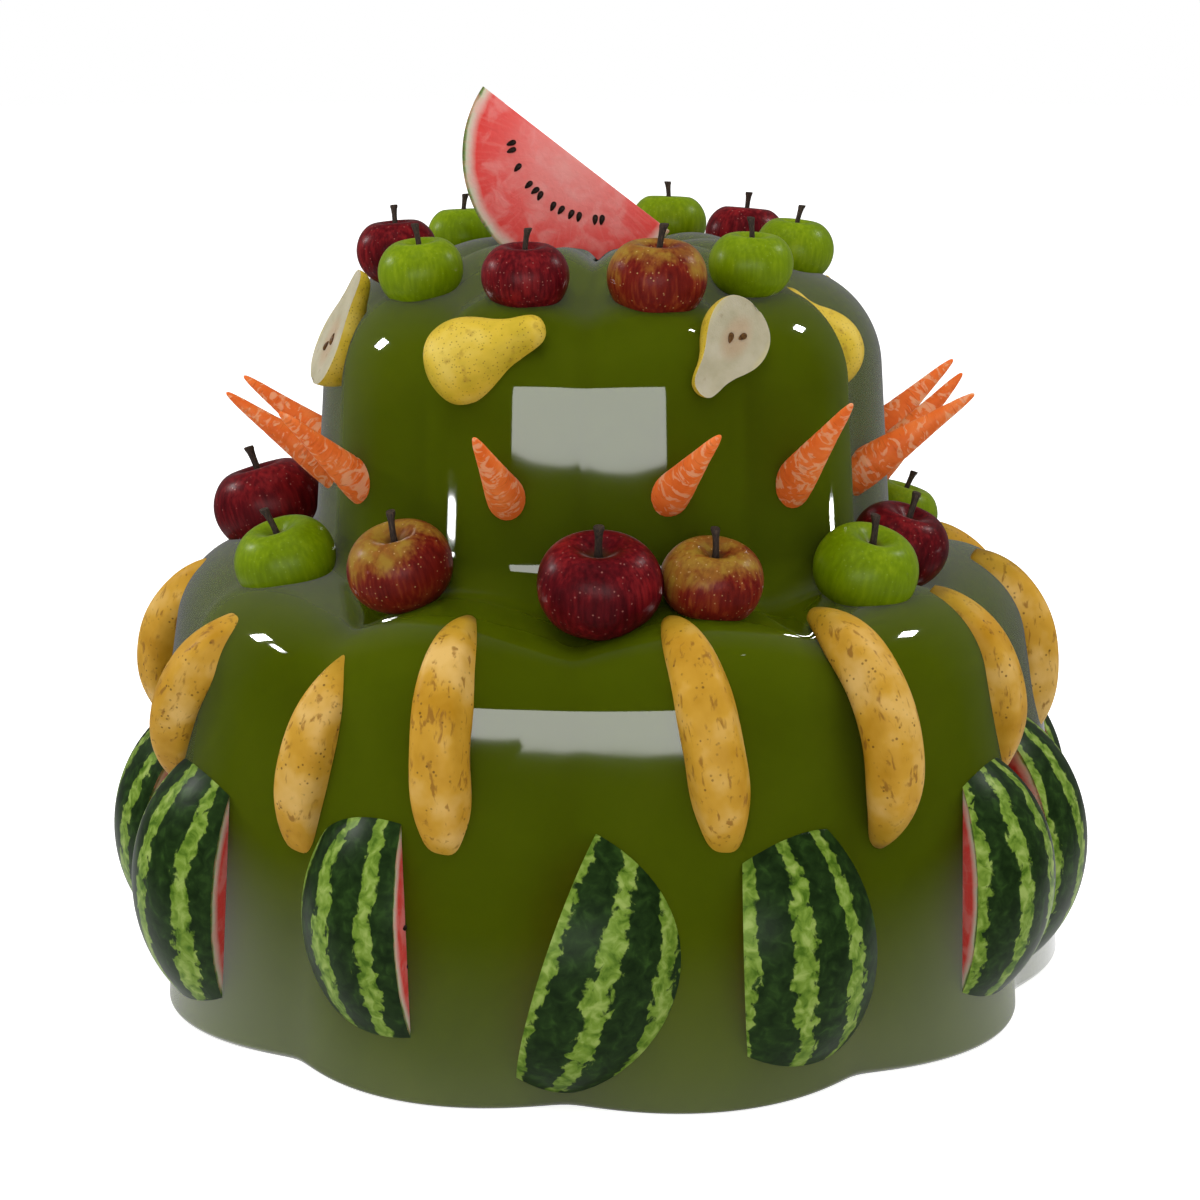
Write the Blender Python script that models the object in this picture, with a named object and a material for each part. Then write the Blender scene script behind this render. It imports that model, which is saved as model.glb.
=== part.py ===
"""A moulded jelly in two fluted tiers, with whole and cut fruit pressed into it.

Metres, +Z up. The jelly stands on z = 0 around the Z axis, and its front faces -Y. Angles are
in degrees round the axis, from 0 at the front through 90 at +X.
"""

import math

import bmesh
import bpy
import numpy as np
from mathutils import Matrix, Vector

# The jelly: crest radii and heights of its profile's corners, and the arcs that round them.
FOOT_RADIUS = 0.333
WALL_BEND = (0.318, 0.172, 0.170)
LOWER_SHOULDER = (0.299, 0.292, 0.063)
STEP_CORNER = (0.205, 0.305, 0.022)
UPPER_SHOULDER = (0.193, 0.475, 0.072)
CROWN_RIM = (0.080, 0.515, 0.080)
CROWN_HEIGHT = 0.503
LOBES = 10
FIRST_VALLEY = -4.0
VALLEY_DEPTH = 0.0265
VALLEY_POWER = 0.85
VALLEY_SOFTNESS = 0.15
LOBE_STEPS = (0.0, 0.12, 0.3, 0.5, 0.7, 0.88)
ARC_ANGLE = 27.0

# The fruit, each at its own natural size.
FIT_GAP = 0.0004
APPLE_RADIUS = 0.029
APPLE_HEIGHT = 0.86
# Dimples as (depth, width) in apple radii: round the stem, and round the eye underneath.
STEM_DIMPLE, EYE_DIMPLE = (0.36, 0.34), (0.16, 0.3)
APPLE_TURN = 37.0
APPLE_COLOURS = {
    "dark_red": (0.09, 0.008, 0.012),
    "green": (0.25, 0.38, 0.02),
    "red_and_gold": (0.35, 0.06, 0.03),
}
STEM_LENGTH, STEM_THICKNESS, STEM_FLARE, STEM_BURIED = 0.021, 0.005, 1.15, 0.003
PEAR_LENGTH, PEAR_RADIUS = 0.084, 0.0285
CARROT_LENGTH, CARROT_BURIED, CARROT_RADIUS, CARROT_TIP = 0.128, 0.048, 0.014, 0.0018
CARROT_TURN = 25.0
BANANA_LENGTH, BANANA_BEND, BANANA_RADIUS, BANANA_END = 0.180, 0.088, 0.019, 0.006
BANANA_TAPER_POWER = 3.2
MELON_RADIUS, MELON_LENGTH, WEDGE_ANGLE = 0.090, 0.202, 68.0
SLICE_RADIUS, SLICE_ANGLE = 0.081, 60.0

# Each ring of fruit: its circle's radius and height, and the lean outwards that its fruit share.
TOP_RING = (0.140, 0.504, 5.0)
PEAR_RING = (0.185, 0.456, -22.0)
CARROT_RING = (0.199, 0.367)
STEP_RING = (0.230, 0.320, 17.0)
BANANA_RING = (0.3075, 0.232)
WEDGE_RING = (0.257, 0.095, 0.0)
# A wedge's buried end stops this far above the jelly's base; one that is within the second number
# of it or higher is left whole.
WEDGE_BASE, WEDGE_TRIM_LEAST = 0.004, 0.002

# Apples: kind, angle, size, and how far each sits outside and above its ring's circle.
TOP_APPLES = (
    ("green", -133.0, 0.95, -0.003, 0.0),
    ("dark_red", -82.0, 0.97, 0.003, 0.001),
    ("green", -56.5, 1.0, 0.006, -0.007),
    ("dark_red", -20.5, 0.98, 0.003, -0.004),
    ("red_and_gold", 14.5, 1.12, 0.003, -0.005),
    ("green", 45.5, 0.97, -0.001, 0.0),
    ("green", 90.0, 0.95, -0.005, 0.0),
    ("dark_red", 130.0, 1.0, -0.003, 0.0),
    ("green", 159.0, 0.95, 0.0, 0.006),
    ("red_and_gold", 195.0, 0.97, 0.0, 0.0),
)
STEP_APPLES = (
    ("dark_red", -97.5, 1.38, 0.013, -0.003),
    ("green", -62.5, 1.2, 0.011, -0.014),
    ("red_and_gold", -34.6, 1.18, 0.0, 0.0),
    ("dark_red", -0.3, 1.36, 0.002, -0.003),
    ("red_and_gold", 17.6, 1.13, 0.001, -0.002),
    ("green", 47.6, 1.22, 0.005, -0.009),
    ("dark_red", 68.5, 1.17, -0.010, -0.009),
    ("green", 102.0, 1.03, -0.009, -0.013),
    ("red_and_gold", 127.0, 1.3, 0.004, 0.013),
)
# Half pears: angle, roll, own turn, offset outwards and upwards, and size. With no own turn the
# cut face looks out, and with 180 degrees it is buried.
PEARS = (
    (-71.5, 14.0, 0.0, 0.007, 0.0, 1.0),
    (-24.5, 63.0, 180.0, 0.0, 0.0, 1.0),
    (25.6, -136.0, -14.5, 0.006, 0.0048, 0.88),
    (64.0, -38.0, 180.0, -0.026, -0.005, 1.0),
    (110.0, 20.0, 0.0, 0.009, -0.018, 1.0),
)
# Carrots: angle, lean, roll, and offset upwards.
CARROTS = (
    (-140.0, 50.0, 0.0, 0.0),
    (-102.0, 56.0, 0.0, -0.005),
    (-84.0, 52.0, 0.0, -0.008),
    (-55.0, 50.0, 4.0, -0.004),
    (-18.2, 54.0, 3.0, 0.0),
    (12.7, 54.0, 11.0, 0.003),
    (40.5, 46.0, -9.0, 0.006),
    (71.5, 54.0, 3.0, 0.001),
    (89.0, 43.0, 0.0, -0.008),
    (102.0, 50.0, 0.0, 0.0),
    (146.0, 50.0, 0.0, 0.0),
    (184.0, 52.0, 0.0, 0.0),
)
# Bananas: angle, lean, roll, and offset outwards and upwards.
BANANAS = (
    (-94.0, -24.1, 15.8, 0.01, -0.003),
    (-62.3, -16.6, 28.1, 0.007, -0.006),
    (-38.8, -1.1, 13.7, -0.004, -0.034),
    (-18.6, -16.0, -2.4, 0.006, 0.002),
    (12.5, -21.5, -7.5, 0.003, 0.009),
    (35.3, -23.1, -2.7, 0.004, 0.006),
    (61.2, -0.6, -13.9, -0.004, -0.013),
    (81.8, -1.5, -1.9, 0.0, -0.011),
    (107.9, -13.9, 3.0, -0.002, -0.005),
)
# Melon wedges: angle, roll, turn about the melon's own axis, size, and offset out and up.
WEDGES = (
    (-78.2, 11.8, -0.1, 0.98, 0.007, 0.009),
    (-59.3, 2.8, 7.2, 1.05, 0.006, -0.003),
    (-24.2, -3.5, -23.2, 0.95, 0.007, 0.009),
    (-4.0, 16.3, 23.4, 1.0, 0.001, -0.006),
    (21.2, -2.5, 8.6, 0.99, 0.003, -0.005),
    (53.3, 1.0, -3.6, 0.95, 0.016, 0.008),
    (72.0, -2.7, -0.5, 1.01, 0.005, 0.006),
    (98.0, 0.0, 0.0, 1.0, 0.0, 0.009),
    (130.0, 4.0, 6.0, 1.0, 0.0, 0.0),
    (160.0, -4.0, 0.0, 1.0, 0.0, 0.006),
    (190.0, 3.0, -5.0, 1.0, 0.0, 0.002),
    (219.0, -3.0, 0.0, 1.0, 0.0, 0.008),
    (249.0, 0.0, 4.0, 1.0, 0.0, 0.002),
)
SLICE_PLACE = (-0.018, -0.032, 0.570)
SLICE_ROLL, SLICE_FACING = -54.0, -14.0


def clear_scene():
    for obj in list(bpy.data.objects):
        bpy.data.objects.remove(obj)


def new_collection(name):
    collection = bpy.data.collections.new(name)
    bpy.context.scene.collection.children.link(collection)
    return collection


def finish(name, colour, roughness):
    material = bpy.data.materials.new(name)
    material.use_nodes = True
    shader = material.node_tree.nodes["Principled BSDF"]
    shader.inputs["Base Color"].default_value = (*colour, 1.0)
    shader.inputs["Roughness"].default_value = roughness
    shader.inputs["Metallic"].default_value = 0.0
    material.diffuse_color = (*colour, 1.0)
    return material


def rounded(corners):
    """A (radius, height) outline whose corners (radius, height, arc radius) are rounded by arcs."""
    points = [Vector(corners[0][:2])]
    for before, corner, after in zip(corners, corners[1:], corners[2:]):
        here = Vector(corner[:2])
        back = (Vector(before[:2]) - here).normalized()
        ahead = (Vector(after[:2]) - here).normalized()
        half = back.angle(ahead) / 2
        reach = corner[2] / math.tan(half)
        centre = here + (back + ahead).normalized() * corner[2] / math.sin(half)
        start = here + back * reach - centre
        sweep = start.angle_signed(here + ahead * reach - centre)
        steps = math.ceil(abs(sweep) / math.radians(ARC_ANGLE))
        for step in range(steps + 1):
            points.append(centre + Matrix.Rotation(-sweep * step / steps, 2) @ start)
    points.append(Vector(corners[-1][:2]))
    return np.array(points)


def jelly_mesh():
    """Lofts the fluted sections: each lobe's valley bites in along the profile's own normal."""
    profile = rounded(
        (
            (FOOT_RADIUS, 0.0, 0.0),
            WALL_BEND,
            LOWER_SHOULDER,
            STEP_CORNER,
            UPPER_SHOULDER,
            CROWN_RIM,
            (0.0, CROWN_HEIGHT, 0.0),
        )
    )[:-1]
    along = np.gradient(profile, axis=0)
    along /= np.linalg.norm(along, axis=1)[:, None]
    radius, height = profile.T
    depth = VALLEY_DEPTH * np.sqrt(radius / FOOT_RADIUS)
    inward = np.stack([-along[:, 1], along[:, 0] * np.minimum(1, height / LOWER_SHOULDER[1])], 1)
    phase = (np.arange(LOBES)[:, None] + np.array(LOBE_STEPS)).ravel()
    wave = np.hypot(np.sin(np.pi * phase), VALLEY_SOFTNESS) / math.hypot(1, VALLEY_SOFTNESS)
    bite = 1 - wave**VALLEY_POWER
    angle = np.radians(FIRST_VALLEY + phase * 360 / LOBES)
    ring_radius = radius[:, None] + (inward[:, 0] * depth)[:, None] * bite
    ring_height = height[:, None] + (inward[:, 1] * depth)[:, None] * bite
    points = np.stack(
        [ring_radius * np.sin(angle), -ring_radius * np.cos(angle), ring_height], axis=2
    )
    rings, sides = points.shape[:2]
    mesh = bmesh.new()
    grid = [[mesh.verts.new(p) for p in ring] for ring in points]
    for low, high in zip(grid, grid[1:]):
        for side in range(sides):
            after = (side + 1) % sides
            mesh.faces.new((low[side], low[after], high[after], high[side]))
    top = mesh.verts.new((0.0, 0.0, CROWN_HEIGHT))
    for side in range(sides):
        mesh.faces.new((grid[-1][side], grid[-1][(side + 1) % sides], top))
    mesh.faces.new(reversed(grid[0]))
    return finished_mesh(mesh, "jelly")


def finished_mesh(shape, name):
    """Turns a bmesh into a mesh with its faces outwards, and frees the bmesh."""
    bmesh.ops.recalc_face_normals(shape, faces=shape.faces)
    mesh = bpy.data.meshes.new(name)
    shape.to_mesh(mesh)
    shape.free()
    return mesh


def turned(outline, segments):
    """A bmesh turned round Z from (radius, height) points that start and end on the axis."""
    shape = bmesh.new()
    ends = [shape.verts.new((radius, 0.0, height)) for radius, height in outline]
    edges = [shape.edges.new(pair) for pair in zip(ends, ends[1:])]
    bmesh.ops.spin(
        shape, geom=ends + edges, cent=(0, 0, 0), axis=(0, 0, 1), angle=math.tau, steps=segments
    )
    bmesh.ops.remove_doubles(shape, verts=shape.verts, dist=1e-6)
    return shape


def cut_flat(shape, point, normal):
    """Removes what lies on the normal's side of a plane and closes the cut."""
    geometry = shape.verts[:] + shape.edges[:] + shape.faces[:]
    cut = bmesh.ops.bisect_plane(
        shape, geom=geometry, dist=1e-6, plane_co=point, plane_no=normal, clear_outer=True
    )
    rim = [item for item in cut["geom_cut"] if isinstance(item, bmesh.types.BMEdge)]
    bmesh.ops.contextual_create(shape, geom=rim)


def apple_outline():
    """An apple's rows from stem to eye: a ball with a bell-shaped dimple at either end."""
    rows = np.radians((0, 34, 70, 104, 145, 180))
    radius = np.sin(rows) ** 0.9
    height = APPLE_HEIGHT * np.cos(rows)
    for (depth, width), side in ((STEM_DIMPLE, rows < 1), (EYE_DIMPLE, rows > 2)):
        height -= np.sign(height) * depth * np.exp(-((radius / width) ** 2)) * side
    radius[[0, -1]] = 0
    return np.stack([radius, height], axis=1) * APPLE_RADIUS


def apple_mesh():
    """One solid: the fruit, and the stem that rises out of its dimple."""
    outline = apple_outline()
    fruit = bpy.data.objects.new("fruit", finished_mesh(turned(outline, 8), "fruit"))
    shape = bmesh.new()
    foot = outline[0][1] - STEM_BURIED
    bmesh.ops.create_cone(
        shape,
        cap_ends=True,
        segments=4,
        radius1=STEM_THICKNESS / 2,
        radius2=STEM_THICKNESS / 2 * STEM_FLARE,
        depth=STEM_LENGTH,
        matrix=Matrix.Translation((0, 0, foot + STEM_LENGTH / 2)),
    )
    stem = bpy.data.objects.new("stem", finished_mesh(shape, "stem"))
    for obj in (fruit, stem):
        bpy.context.scene.collection.objects.link(obj)
    join = fruit.modifiers.new("stem", "BOOLEAN")
    join.operation = "UNION"
    join.object = stem
    graph = bpy.context.evaluated_depsgraph_get()
    mesh = bpy.data.meshes.new_from_object(fruit.evaluated_get(graph))
    mesh.name = "apple"
    for obj in (fruit, stem):
        bpy.data.objects.remove(obj)
    return mesh


def pear_mesh():
    """Half a pear: its cut face looks along -Y, and its stalk end points up."""
    share = np.array((0, 0.03, 0.14, 0.32, 0.52, 0.72, 0.95, 1.0))
    belly = np.array((0, 0.5, 0.9, 1.0, 0.8, 0.5, 0.3, 0.0))
    outline = np.stack([belly * PEAR_RADIUS, (share - 0.45) * PEAR_LENGTH], axis=1)
    shape = turned(outline, 8)
    cut_flat(shape, (0, 0, 0), (0, -1, 0))
    return finished_mesh(shape, "pear")


def carrot_mesh():
    """A carrot whose tip points up, with its origin where it leaves the jelly."""
    length = np.array((0.0, 0.02, 0.22, 0.4, 1.0, 1.0))
    width = np.array((0.0, 0.8, 1.0, 0.88, CARROT_TIP / CARROT_RADIUS, 0.0))
    outline = np.stack([width * CARROT_RADIUS, length * CARROT_LENGTH - CARROT_BURIED], axis=1)
    return finished_mesh(turned(outline, 6), "carrot")


def banana_mesh():
    """A tapered tube along an arc that bulges towards -Y."""
    curve = bpy.data.curves.new("banana", "CURVE")
    curve.dimensions = "3D"
    curve.bevel_depth = BANANA_RADIUS
    curve.bevel_resolution = 1
    curve.use_fill_caps = True
    share = np.array((-1, -0.85, -0.45, 0, 0.45, 0.85, 1))
    swing = share * BANANA_LENGTH / 2 / BANANA_BEND
    spline = curve.splines.new("POLY")
    spline.points.add(len(share) - 1)
    for point, angle, place in zip(spline.points, swing, share):
        bulge = BANANA_BEND * (math.cos(angle) - 1)
        point.co = (0.0, -bulge, BANANA_BEND * math.sin(angle), 1.0)
        taper = 1 - abs(place) ** BANANA_TAPER_POWER
        point.radius = (BANANA_END + (BANANA_RADIUS - BANANA_END) * taper) / BANANA_RADIUS
    tube = bpy.data.objects.new("banana", curve)
    bpy.context.scene.collection.objects.link(tube)
    graph = bpy.context.evaluated_depsgraph_get()
    mesh = bpy.data.meshes.new_from_object(tube.evaluated_get(graph))
    bpy.data.objects.remove(tube)
    shape = bmesh.new()
    shape.from_mesh(mesh)
    bmesh.ops.remove_doubles(shape, verts=shape.verts, dist=1e-6)
    return finished_mesh(shape, "banana")


def wedge_mesh(name, radius, length, angle):
    """A melon's wedge: the rind faces -Y, and the two cut faces meet on the Z axis."""
    rows = np.radians((0, 27, 54, 90, 126, 153, 180))
    shape = bmesh.new()
    rind = [shape.verts.new((0, -radius * math.sin(a), length / 2 * math.cos(a))) for a in rows]
    edges = [shape.edges.new(pair) for pair in zip(rind, rind[1:])]
    half = math.radians(angle / 2)
    bmesh.ops.rotate(shape, verts=rind, matrix=Matrix.Rotation(-half, 3, "Z"))
    bmesh.ops.spin(
        shape, geom=rind + edges, cent=(0, 0, 0), axis=(0, 0, 1), angle=2 * half, steps=4
    )
    bmesh.ops.remove_doubles(shape, verts=shape.verts, dist=1e-6)
    for side in (-1, 1):
        face_direction = Vector((math.cos(half) * side, math.sin(half), 0))
        rim = [
            edge
            for edge in shape.edges
            if edge.is_boundary and all(abs(v.co @ face_direction) < 1e-6 for v in edge.verts)
        ]
        bmesh.ops.contextual_create(shape, geom=rim)
    return finished_mesh(shape, name)


def trimmed_wedge(mesh, place):
    """The wedge, with an end that would come through the jelly's base cut off level above it."""
    lowest = min((place @ vertex.co).z for vertex in mesh.vertices)
    if lowest > WEDGE_BASE - WEDGE_TRIM_LEAST:
        return mesh
    shape = bmesh.new()
    shape.from_mesh(mesh)
    cut = bmesh.ops.bisect_plane(
        shape,
        geom=[*shape.verts, *shape.edges, *shape.faces],
        plane_co=place.inverted() @ Vector((0, 0, WEDGE_BASE)),
        plane_no=place.to_3x3().transposed() @ Vector((0, 0, 1)),
        clear_inner=True,
    )
    rim = [element for element in cut["geom_cut"] if isinstance(element, bmesh.types.BMEdge)]
    bmesh.ops.contextual_create(shape, geom=rim)
    return finished_mesh(shape, mesh.name)


def seat(ring, angle, roll=0.0, turn=0.0, out=0.0, lift=0.0, size=1.0):
    """Where a fruit sits: its own +Z leans out by the ring's lean, and its own -Y faces out."""
    radius, height, lean = ring
    return (
        Matrix.Rotation(math.radians(angle), 4, "Z")
        @ Matrix.Translation((0, -radius - out, height + lift))
        @ Matrix.Rotation(math.radians(lean), 4, "X")
        @ Matrix.Rotation(math.radians(roll), 4, "Y")
        @ Matrix.Rotation(math.radians(turn), 4, "Z")
        @ Matrix.Scale(size, 4)
    )


def add_fruit(name, mesh, material, place, fruit, pockets):
    """Adds one fruit and, a little larger than it, the cutter of the pocket it fills."""
    obj = bpy.data.objects.new(name, mesh)
    obj.matrix_world = place
    if not mesh.materials:
        mesh.materials.append(None)
    obj.material_slots[0].link = "OBJECT"
    obj.material_slots[0].material = material
    fruit.objects.link(obj)
    pocket = bpy.data.objects.new("pocket_" + name, mesh)
    pocket.matrix_world = place
    pocket.hide_render = True
    pocket.display_type = "WIRE"
    swell = pocket.modifiers.new("fit", "DISPLACE")
    swell.strength = FIT_GAP
    swell.mid_level = 0.0
    pockets.objects.link(pocket)
    return obj


def main():
    clear_scene()
    whole = new_collection("moulded_jelly")
    pockets = new_collection("pockets")
    jelly = bpy.data.objects.new("jelly", jelly_mesh())
    jelly.data.materials.append(finish("green_jelly", (0.06, 0.085, 0.008), 0.08))
    whole.objects.link(jelly)
    skins = {kind: finish(kind + "_apple", colour, 0.35) for kind, colour in APPLE_COLOURS.items()}
    pear_skin = finish("yellow_pear", (0.6, 0.45, 0.12), 0.5)
    carrot_skin = finish("carrot", (0.8, 0.16, 0.03), 0.5)
    banana_skin = finish("banana", (0.65, 0.35, 0.06), 0.5)
    rind = finish("melon_rind", (0.03, 0.1, 0.02), 0.4)
    apple = apple_mesh()
    for ring_name, ring, apples in (("top", TOP_RING, TOP_APPLES), ("step", STEP_RING, STEP_APPLES)):
        for order, (kind, angle, size, out, lift) in enumerate(apples, 1):
            place = seat(ring, angle, turn=APPLE_TURN * order, out=out, lift=lift, size=size)
            name = f"apple_{ring_name}_{order}"
            add_fruit(name, apple, skins[kind], place, whole, pockets)
    pear = pear_mesh()
    for order, row in enumerate(PEARS, 1):
        place = seat(PEAR_RING, *row)
        add_fruit(f"pear_half_{order}", pear, pear_skin, place, whole, pockets)
    carrot = carrot_mesh()
    for order, (angle, lean, roll, lift) in enumerate(CARROTS, 1):
        place = seat((*CARROT_RING, lean), angle, roll, CARROT_TURN * order, lift=lift)
        add_fruit(f"carrot_{order}", carrot, carrot_skin, place, whole, pockets)
    banana = banana_mesh()
    for order, (angle, lean, roll, out, lift) in enumerate(BANANAS, 1):
        place = seat((*BANANA_RING, lean), angle, roll, 0.0, out, lift)
        add_fruit(f"banana_{order}", banana, banana_skin, place, whole, pockets)
    wedge = wedge_mesh("melon_wedge", MELON_RADIUS, MELON_LENGTH, WEDGE_ANGLE)
    for order, (angle, roll, turn, size, out, lift) in enumerate(WEDGES, 1):
        place = seat(WEDGE_RING, angle, roll, turn, out, lift, size)
        add_fruit(f"melon_wedge_{order}", trimmed_wedge(wedge, place), rind, place, whole, pockets)
    slice_place = (
        Matrix.Translation(SLICE_PLACE)
        @ Matrix.Rotation(math.radians(SLICE_FACING), 4, "Z")
        @ Matrix.Rotation(math.radians(SLICE_ROLL), 4, "Y")
        @ Matrix.Rotation(math.radians(SLICE_ANGLE / 2 - 90 - SLICE_ANGLE), 4, "Z")
    )
    top_slice = wedge_mesh("melon_slice", SLICE_RADIUS, 2 * SLICE_RADIUS, SLICE_ANGLE)
    add_fruit("melon_slice", top_slice, rind, slice_place, whole, pockets)
    cut = jelly.modifiers.new("pockets", "BOOLEAN")
    cut.operation = "DIFFERENCE"
    cut.operand_type = "COLLECTION"
    cut.collection = pockets


main()
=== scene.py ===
# %% [markdown]
# # A moulded jelly in two tiers, with fruit pressed into it
#
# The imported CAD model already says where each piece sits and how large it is. This lesson keeps
# those places and gives every piece the shape and the finish that it has on the table: a glossy,
# slightly cloudy green jelly, and whole and cut fruit half sunk in its sides.
#
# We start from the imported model. Its objects are the frame: we read boxes from them, and hide
# each one behind the finer piece that stands for it.

import math

import bmesh
import bpy
import numpy as np
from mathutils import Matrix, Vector
from mathutils.kdtree import KDTree


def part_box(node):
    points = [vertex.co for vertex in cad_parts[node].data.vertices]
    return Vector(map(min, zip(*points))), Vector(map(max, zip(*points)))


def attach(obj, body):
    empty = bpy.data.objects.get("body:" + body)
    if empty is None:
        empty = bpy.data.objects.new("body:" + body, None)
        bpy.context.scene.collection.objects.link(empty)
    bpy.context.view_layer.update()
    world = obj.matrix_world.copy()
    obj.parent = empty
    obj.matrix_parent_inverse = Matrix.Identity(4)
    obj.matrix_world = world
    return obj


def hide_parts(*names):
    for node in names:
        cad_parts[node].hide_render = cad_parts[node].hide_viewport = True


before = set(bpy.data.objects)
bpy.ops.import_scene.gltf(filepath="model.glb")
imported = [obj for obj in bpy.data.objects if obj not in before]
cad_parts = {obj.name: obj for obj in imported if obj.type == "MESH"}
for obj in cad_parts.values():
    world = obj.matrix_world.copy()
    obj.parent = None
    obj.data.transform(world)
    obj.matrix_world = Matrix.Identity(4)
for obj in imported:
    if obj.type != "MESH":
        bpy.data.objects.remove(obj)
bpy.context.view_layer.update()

# %% [markdown]
# ## The camera
#
# A table-top camera stands a little above the sweet and looks slightly down on it. A long lens
# keeps the two tiers from flaring, so we give the camera its distance, its height above the
# horizon and the height that it looks at, and work out its place from these three.

# %% Place the camera
CAMERA_ELEVATION = math.radians(13.29)
CAMERA_DISTANCE = 1.948
CAMERA_AIM = (-0.0013, 0.0, 0.2534)
CAMERA_LENS = 81.25


def make_camera():
    """The camera stands at aim + distance * (0, -cos e, sin e), e being its elevation."""
    data = bpy.data.cameras.new("camera")
    data.lens = CAMERA_LENS
    data.sensor_width = 36.0
    camera = bpy.data.objects.new("camera", data)
    back = np.array((0.0, -math.cos(CAMERA_ELEVATION), math.sin(CAMERA_ELEVATION)))
    camera.location = np.array(CAMERA_AIM) + CAMERA_DISTANCE * back
    camera.rotation_euler = (math.pi / 2 - CAMERA_ELEVATION, 0.0, 0.0)
    bpy.context.scene.collection.objects.link(camera)
    bpy.context.scene.camera = camera
    print("camera at", [round(x, 3) for x in camera.location])


make_camera()

# %% [markdown]
# ## Grids of points
#
# Every new piece is a surface worked out with numpy: a grid of points, rows by columns. Blender
# wants corners and faces instead. One function turns any number of grids into one mesh: it makes
# a quad between each pair of rows and columns, then welds points that coincide. The weld closes
# the seam where the last column meets the first, the poles where a whole row is one point, and
# the edges where two grids meet.
#
# Each point also carries two small notes. `own` is where it lay on the fruit before the fruit
# was put in its place, so that a stripe can follow the fruit. `vary` is the same place, shifted
# by a different amount for each fruit, so that no two fruits have the same spots.

# %% Turn grids into a mesh
WELD = 1e-6
SHARP = math.radians(50)


def grid_faces(rows, columns, start):
    """Corner numbers of the quads of one grid whose first point has the number start."""
    index = start + np.arange(rows * columns).reshape(rows, columns)
    corners = (index[:-1, :-1], index[:-1, 1:], index[1:, 1:], index[1:, :-1])
    return np.stack(corners, axis=-1).reshape(-1, 4)


def mesh_of(name, sheets, placed, shift):
    """One welded mesh from sheets, each (grid of own points, material number).

    placed turns own points into points in the frame.
    """
    own = np.concatenate([grid.reshape(-1, 3) for grid, _ in sheets])
    starts = np.cumsum([0] + [grid.shape[0] * grid.shape[1] for grid, _ in sheets])
    quads = [grid_faces(*grid.shape[:2], start) for (grid, _), start in zip(sheets, starts)]
    numbers = np.concatenate([np.full(len(q), n) for q, (_, n) in zip(quads, sheets)])
    quads = np.concatenate(quads)
    mesh = bpy.data.meshes.new(name)
    mesh.vertices.add(len(own))
    mesh.vertices.foreach_set("co", placed(own).astype(np.float32).ravel())
    mesh.loops.add(quads.size)
    mesh.loops.foreach_set("vertex_index", quads.astype(np.int32).ravel())
    mesh.polygons.add(len(quads))
    mesh.polygons.foreach_set("loop_start", np.arange(0, quads.size, 4, dtype=np.int32))
    mesh.polygons.foreach_set("material_index", numbers.astype(np.int32))
    mesh.update(calc_edges=True)
    for label, values in (("own", own), ("vary", own + shift)):
        attribute = mesh.attributes.new(label, "FLOAT_VECTOR", "POINT")
        attribute.data.foreach_set("vector", values.astype(np.float32).ravel())
    shape = bmesh.new()
    shape.from_mesh(mesh)
    bmesh.ops.remove_doubles(shape, verts=shape.verts, dist=WELD)
    bmesh.ops.recalc_face_normals(shape, faces=shape.faces)
    shape.to_mesh(mesh)
    shape.free()
    mesh.polygons.foreach_set("use_smooth", np.ones(len(mesh.polygons), bool))
    mesh.set_sharp_from_angle(angle=SHARP)
    return mesh


def show(name, sheets, materials, placed=lambda points: points, shift=(0.0, 0.0, 0.0)):
    """Adds a piece that rides on the one body of this part."""
    mesh = mesh_of(name, sheets, placed, np.array(shift))
    for material in materials:
        mesh.materials.append(material)
    piece = bpy.data.objects.new(name, mesh)
    piece.visible_glossy = False
    bpy.context.scene.collection.objects.link(piece)
    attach(piece, "root")
    return piece


# %% [markdown]
# ## Smooth outlines
#
# Fruit shapes come from a few widths along a length. A Catmull-Rom curve passes through every
# one of them and has no corners, so a handful of numbers is enough for a pear or a carrot.

# %% A smooth curve through a few points
def smooth_path(knots, count):
    """count points on the Catmull-Rom curve through knots, evenly spread in knot number."""
    knots = np.asarray(knots, float)
    ends = 2 * knots[[0, -1]] - knots[[1, -2]]
    padded = np.vstack([ends[:1], knots, ends[1:]])
    number = np.linspace(0, len(knots) - 1, count)
    index = np.minimum(number.astype(int), len(knots) - 2)
    part = (number - index)[:, None]
    before, here, after, beyond = (padded[index + step] for step in range(4))
    return 0.5 * (
        2 * here
        + (after - before) * part
        + (2 * before - 5 * here + 4 * after - beyond) * part**2
        + (3 * here - before - 3 * after + beyond) * part**3
    )


def revolved(outline, angles):
    """Own points of (radius, height) pairs carried round Z: x = r sin a, y = -r cos a."""
    radius, height = outline[:, :1], outline[:, 1:]
    flat = np.zeros_like(angles)
    return np.stack(
        [radius * np.sin(angles), -radius * np.cos(angles), height + flat], axis=-1
    )


# %% [markdown]
# ## Where each fruit sits
#
# The CAD model sets every fruit in a ring round the jelly. The same rule is repeated here: turn
# to the fruit's angle round the axis, go out to the ring, lean outwards, roll, and turn about the
# fruit's own axis. The fine piece is then nudged so that its box has the same middle as the box
# of the CAD node that it stands for.

# %% The rule of the rings
def turn(axis, degrees):
    """A rotation matrix about X, Y or Z."""
    sine, cosine = math.sin(math.radians(degrees)), math.cos(math.radians(degrees))
    first, second = {"X": (1, 2), "Y": (2, 0), "Z": (0, 1)}[axis]
    matrix = np.eye(3)
    matrix[first, first] = matrix[second, second] = cosine
    matrix[first, second], matrix[second, first] = -sine, sine
    return matrix


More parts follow.
